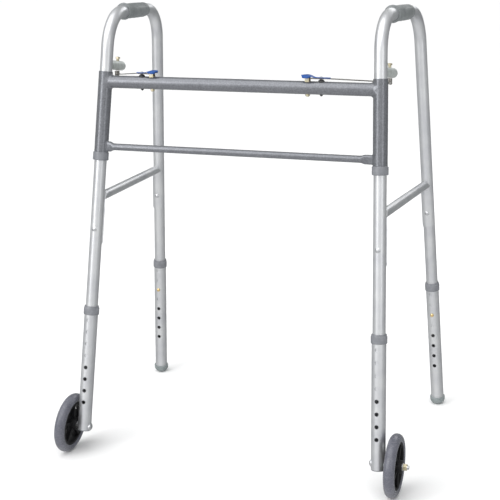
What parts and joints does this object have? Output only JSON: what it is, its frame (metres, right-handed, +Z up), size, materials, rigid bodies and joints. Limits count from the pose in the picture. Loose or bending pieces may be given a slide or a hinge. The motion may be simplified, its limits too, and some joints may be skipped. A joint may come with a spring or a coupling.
{
  "type": "folding walking frame with front wheels",
  "caption": "Extra-wide folding walking frame: grey front H-frame, two silver side frames that swing inwards, adjustable legs, front wheels, rear glides.",
  "frame": {"origin": "on the floor, in the middle of the walking frame's footprint", "axes": "+X to the user's left, -Y the way the user walks (the front), +Z up. Nodes and bodies named left and right are the user's left (+X) and right (-X)."},
  "size_m": [0.7638, 0.5713, 0.9357],
  "materials": {
    "anodised_tube": "satin clear-anodised, fine drawn lines along the tube",
    "grey_hammertone": "mid grey powder coat with a slight hammered texture",
    "label_white": "glossy vinyl label",
    "grip_vinyl": "soft grey vinyl, matte",
    "collar_plastic": "mid grey moulded plastic",
    "blue_plastic": "glossy moulded blue plastic",
    "cast_alloy": "dull cast alloy, slightly pebbled",
    "yellow_zinc": "yellow zinc plate",
    "strap_steel": "dull zinc-plated strip",
    "dark_rubber": "dark blue-black rubber",
    "tyre_rubber": "plain grey non-marking rubber",
    "hub_plastic": "black moulded plastic",
    "glide_rubber": "grey moulded rubber",
    "spring_steel": "bright spring steel",
    "button_brass": "plain brass",
    "bush_plastic": "pale nylon",
    "plain_steel": "bright zinc-plated steel"
  },
  "bodies": {
    "front_frame": {"crossbar": "grey_hammertone", "lower_bar": "grey_hammertone", "left_sleeve": "grey_hammertone", "right_sleeve": "grey_hammertone", "crossbar_label": "label_white", "fork_bolts": "yellow_zinc", "fork_bolt_nuts": "yellow_zinc", "left_bumper": "dark_rubber", "right_bumper": "dark_rubber"},
    "left_lever": {"left_paddle": "blue_plastic", "left_latch_strap": "strap_steel", "left_lever_pins": "plain_steel"},
    "left_side": {"left_side_tube": "anodised_tube", "left_grip": "grip_vinyl", "left_brace": "anodised_tube", "left_brace_rivets": "plain_steel", "left_upper_collar": "collar_plastic", "left_catch_stub": "cast_alloy", "left_catch_pin": "yellow_zinc", "left_button_springs": "spring_steel"},
    "left_front_leg": {"left_front_extension": "anodised_tube", "left_front_collar": "collar_plastic", "left_front_plug": "collar_plastic", "left_axle_bolt": "plain_steel", "left_axle_nut": "yellow_zinc", "left_axle_spacers": "plain_steel"},
    "left_wheel": {"left_tyre": "tyre_rubber", "left_hub": "hub_plastic", "left_hub_bush": "bush_plastic"},
    "left_rear_leg": {"left_rear_extension": "anodised_tube", "left_rear_collar": "collar_plastic", "left_glide": "glide_rubber"},
    "left_front_snap": {"left_front_button": "button_brass"},
    "left_rear_snap": {"left_rear_button": "button_brass"},
    "right_lever": {"right_paddle": "blue_plastic", "right_latch_strap": "strap_steel", "right_lever_pins": "plain_steel"},
    "right_side": {"right_side_tube": "anodised_tube", "right_grip": "grip_vinyl", "right_brace": "anodised_tube", "right_brace_rivets": "plain_steel", "right_upper_collar": "collar_plastic", "right_catch_stub": "cast_alloy", "right_catch_pin": "yellow_zinc", "right_button_springs": "spring_steel", "right_brace_label": "label_white"},
    "right_front_leg": {"right_front_extension": "anodised_tube", "right_front_collar": "collar_plastic", "right_front_plug": "collar_plastic", "right_axle_bolt": "plain_steel", "right_axle_nut": "yellow_zinc", "right_axle_spacers": "plain_steel"},
    "right_wheel": {"right_tyre": "tyre_rubber", "right_hub": "hub_plastic", "right_hub_bush": "bush_plastic"},
    "right_rear_leg": {"right_rear_extension": "anodised_tube", "right_rear_collar": "collar_plastic", "right_glide": "glide_rubber"},
    "right_front_snap": {"right_front_button": "button_brass"},
    "right_rear_snap": {"right_rear_button": "button_brass"}
  },
  "joints": [
    {"name": "left_fold", "type": "hinge", "parent": "front_frame", "child": "left_side", "pos_m": [0.288, -0.1139, 0.783], "axis": [-0.0445, 0.1482, 0.988], "range_deg": [0, 86]},
    {"name": "left_press", "type": "hinge", "parent": "front_frame", "child": "left_lever", "pos_m": [0.144, -0.1139, 0.8], "axis": [0, 1, 0], "range_deg": [0, 5], "stiffness_Nm_per_rad": 1.5, "springref_deg": -4.58, "deforming": ["left_bumper"]},
    {"name": "left_front_height", "type": "slide", "parent": "left_side", "child": "left_front_leg", "axis": [-0.0445, 0.1482, 0.988], "range_m": [-0.0508, 0.1016]},
    {"name": "left_rear_height", "type": "slide", "parent": "left_side", "child": "left_rear_leg", "axis": [-0.0592, -0.0863, 0.9945], "range_m": [-0.0508, 0.1016]},
    {"name": "left_wheel_spin", "type": "hinge", "parent": "left_front_leg", "child": "left_wheel", "pos_m": [0.32044, -0.22184, 0.0635], "axis": [1, 0, 0], "continuous": true},
    {"name": "left_front_button_push", "type": "slide", "parent": "left_side", "child": "left_front_snap", "axis": [-0.0682, -0.9871, 0.145], "range_m": [0, 0.004], "stiffness_N_per_m": 800, "springref_m": -0.003, "deforming": ["left_button_springs"]},
    {"name": "left_rear_button_push", "type": "slide", "parent": "left_side", "child": "left_rear_snap", "axis": [0.056, 0.9944, 0.0896], "range_m": [0, 0.004], "stiffness_N_per_m": 800, "springref_m": -0.003, "deforming": ["left_button_springs"]},
    {"name": "right_fold", "type": "hinge", "parent": "front_frame", "child": "right_side", "pos_m": [-0.288, -0.1139, 0.783], "axis": [-0.0445, -0.1482, -0.988], "range_deg": [0, 72]},
    {"name": "right_press", "type": "hinge", "parent": "front_frame", "child": "right_lever", "pos_m": [-0.183, -0.1139, 0.8], "axis": [0, -1, 0], "range_deg": [0, 5], "stiffness_Nm_per_rad": 1.5, "springref_deg": -4.58, "deforming": ["right_bumper"]},
    {"name": "right_front_height", "type": "slide", "parent": "right_side", "child": "right_front_leg", "axis": [0.0445, 0.1482, 0.988], "range_m": [-0.0508, 0.1016]},
    {"name": "right_rear_height", "type": "slide", "parent": "right_side", "child": "right_rear_leg", "axis": [0.0592, -0.0863, 0.9945], "range_m": [-0.0508, 0.1016]},
    {"name": "right_wheel_spin", "type": "hinge", "parent": "right_front_leg", "child": "right_wheel", "pos_m": [-0.3206, -0.22238, 0.05988], "axis": [0.9945, 0, -0.1045], "continuous": true},
    {"name": "right_front_button_push", "type": "slide", "parent": "right_side", "child": "right_front_snap", "axis": [0.0682, -0.9871, 0.145], "range_m": [0, 0.004], "stiffness_N_per_m": 800, "springref_m": -0.003, "deforming": ["right_button_springs"]},
    {"name": "right_rear_button_push", "type": "slide", "parent": "right_side", "child": "right_rear_snap", "axis": [-0.056, 0.9944, 0.0896], "range_m": [0, 0.004], "stiffness_N_per_m": 800, "springref_m": -0.003, "deforming": ["right_button_springs"]}
  ]
}
